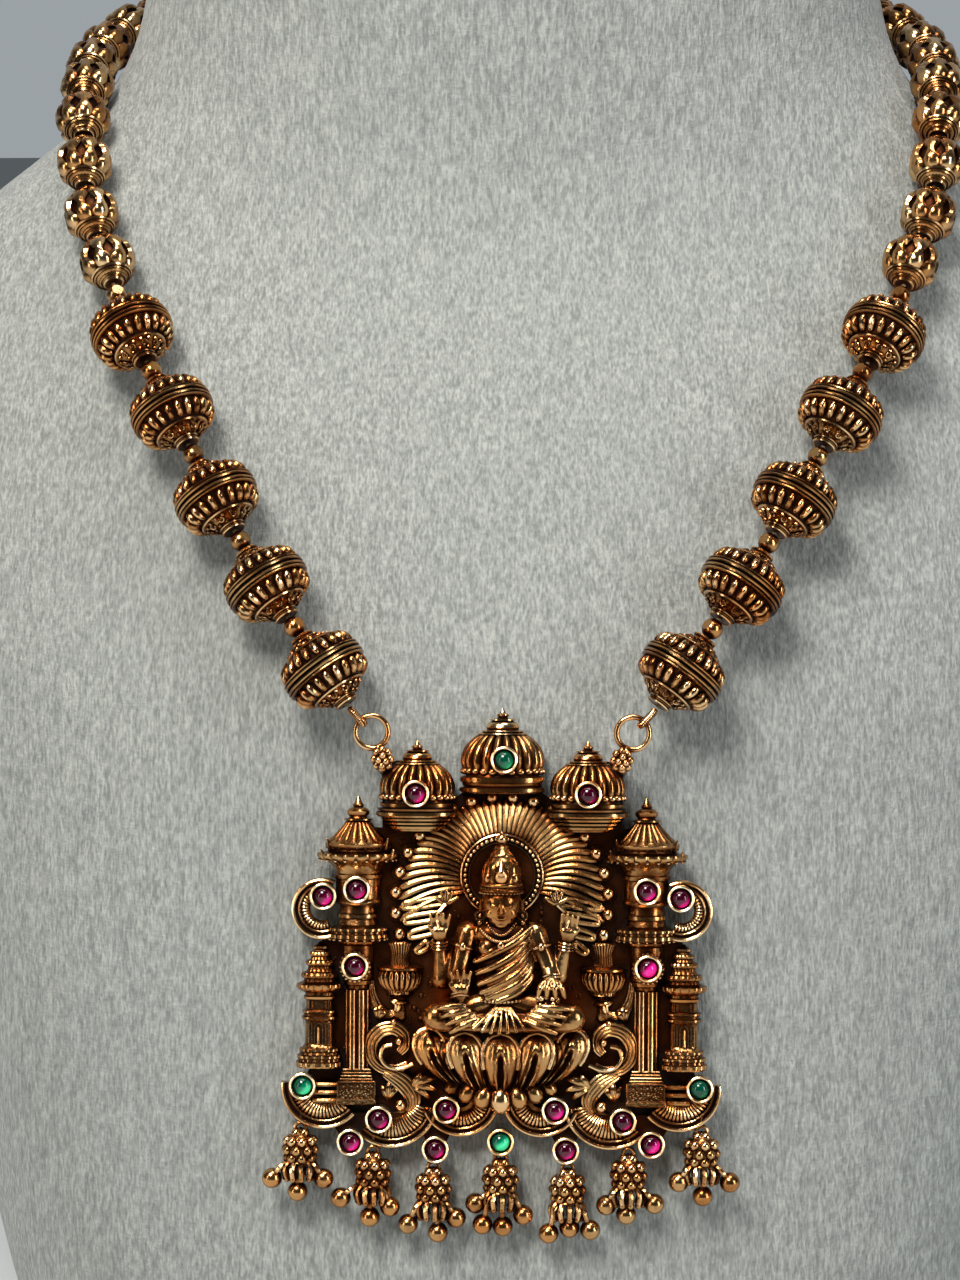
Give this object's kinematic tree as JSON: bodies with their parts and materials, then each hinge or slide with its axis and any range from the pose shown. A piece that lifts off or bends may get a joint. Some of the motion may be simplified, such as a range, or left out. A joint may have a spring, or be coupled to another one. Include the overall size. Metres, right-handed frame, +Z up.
{
  "type": "temple jewellery necklace on a neck bust",
  "caption": "Ribbed and openwork bead strand with a figural pendant of domes, towers, scrolls, set stones and ball drops, laid on a plain linen neck bust.",
  "frame": {"origin": "centre of the bounding box at the level of the bust's flat base", "axes": "+Z up, -Y out of the front of the bust, +X to the viewer's right"},
  "size_m": [0.2178, 0.1507, 0.25],
  "materials": {
    "bust_linen": "pale blue-grey slubbed linen",
    "gold": "antique gold, worn bright on the high points",
    "dark_gold": "antique gold with dark patina in the recesses",
    "ruby": "polished wine-red cabochon",
    "emerald": "polished green cabochon",
    "thread": "plain cord"
  },
  "bodies": {
    "root": {"neck_bust": "bust_linen", "bead_thread": "thread", "large_bead_l1": "gold", "large_bead_l2": "gold", "large_bead_l3": "gold", "large_bead_l4": "gold", "large_bead_l5": "gold", "large_bead_r1": "gold", "large_bead_r2": "gold", "large_bead_r3": "gold", "large_bead_r4": "gold", "large_bead_r5": "gold", "small_beads_left": "gold", "small_beads_right": "gold", "spacer_beads": "gold", "clasp": "gold", "coil_loop_left": "gold", "coil_loop_right": "gold", "jump_ring_left": "gold", "jump_ring_right": "gold", "pendant_plate": "dark_gold", "seated_figure": "gold", "lotus_seat": "gold", "dome_centre": "gold", "dome_left": "gold", "dome_right": "gold", "tower_left": "dark_gold", "tower_right": "dark_gold", "shrine_left": "dark_gold", "shrine_right": "dark_gold", "scroll_border_left": "gold", "scroll_border_right": "gold", "drop_1": "gold", "drop_2": "gold", "drop_3": "gold", "drop_4": "gold", "drop_5": "gold", "drop_6": "gold", "drop_7": "gold", "stone_dome_centre": "emerald", "stone_dome_left": "ruby", "stone_dome_right": "ruby", "stone_tower_left": "ruby", "stone_tower_right": "ruby", "stone_volute_left": "ruby", "stone_volute_right": "ruby", "stone_column_left": "ruby", "stone_column_right": "ruby", "stone_side_left": "emerald", "stone_side_right": "emerald", "stone_scroll_left": "ruby", "stone_scroll_right": "ruby", "stone_inner_left": "ruby", "stone_inner_right": "ruby", "stone_low_outer_left": "ruby", "stone_low_outer_right": "ruby", "stone_low_inner_left": "ruby", "stone_low_inner_right": "ruby", "stone_bottom": "emerald"}
  },
  "joints": []
}
